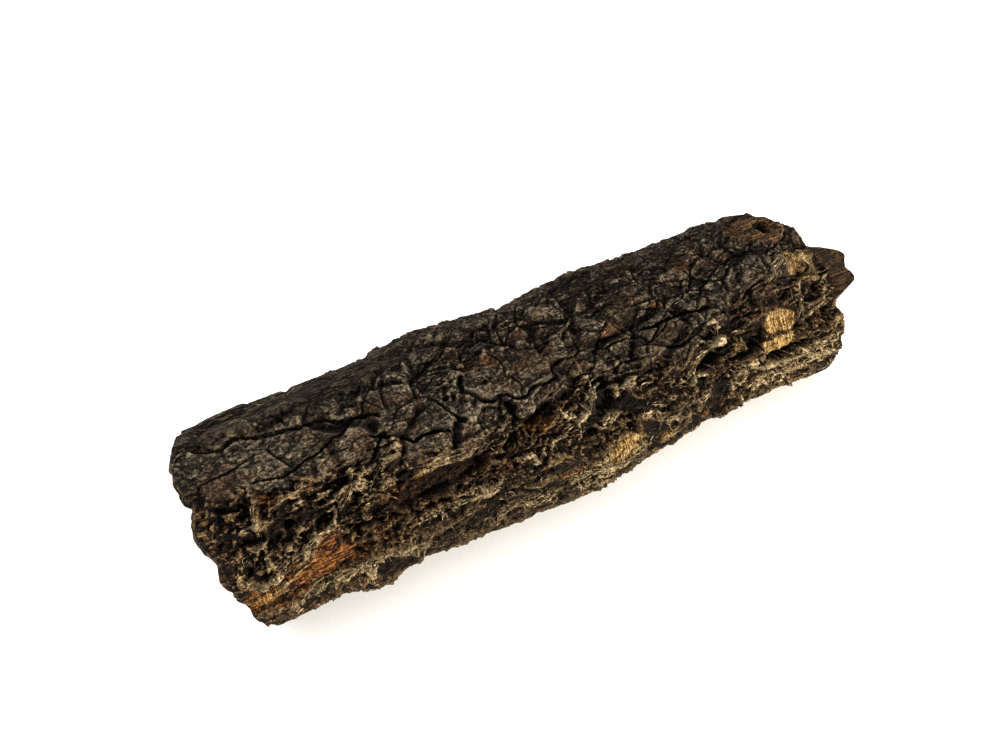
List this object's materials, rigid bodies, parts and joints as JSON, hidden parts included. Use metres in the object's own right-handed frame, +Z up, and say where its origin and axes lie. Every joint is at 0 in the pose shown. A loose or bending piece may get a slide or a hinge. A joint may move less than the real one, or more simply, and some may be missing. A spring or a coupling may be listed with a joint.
{
  "type": "cork bark tube",
  "caption": "Hollow tube of natural cork bark with rough ridged plates outside, square at one end and broken aslant at the other; lies on its side as a hide or planter.",
  "frame": {"origin": "under the middle of the bounding box, on the surface the tube rests on", "axes": "+X along the tube towards the end that is broken aslant, +Y to the back, +Z up"},
  "size_m": [0.5306, 0.1388, 0.1304],
  "materials": {
    "bark": "dry, matt, deeply fissured bark with cream ridges and orange bare cork"
  },
  "bodies": {
    "root": {"bark_tube": "bark"}
  },
  "joints": []
}
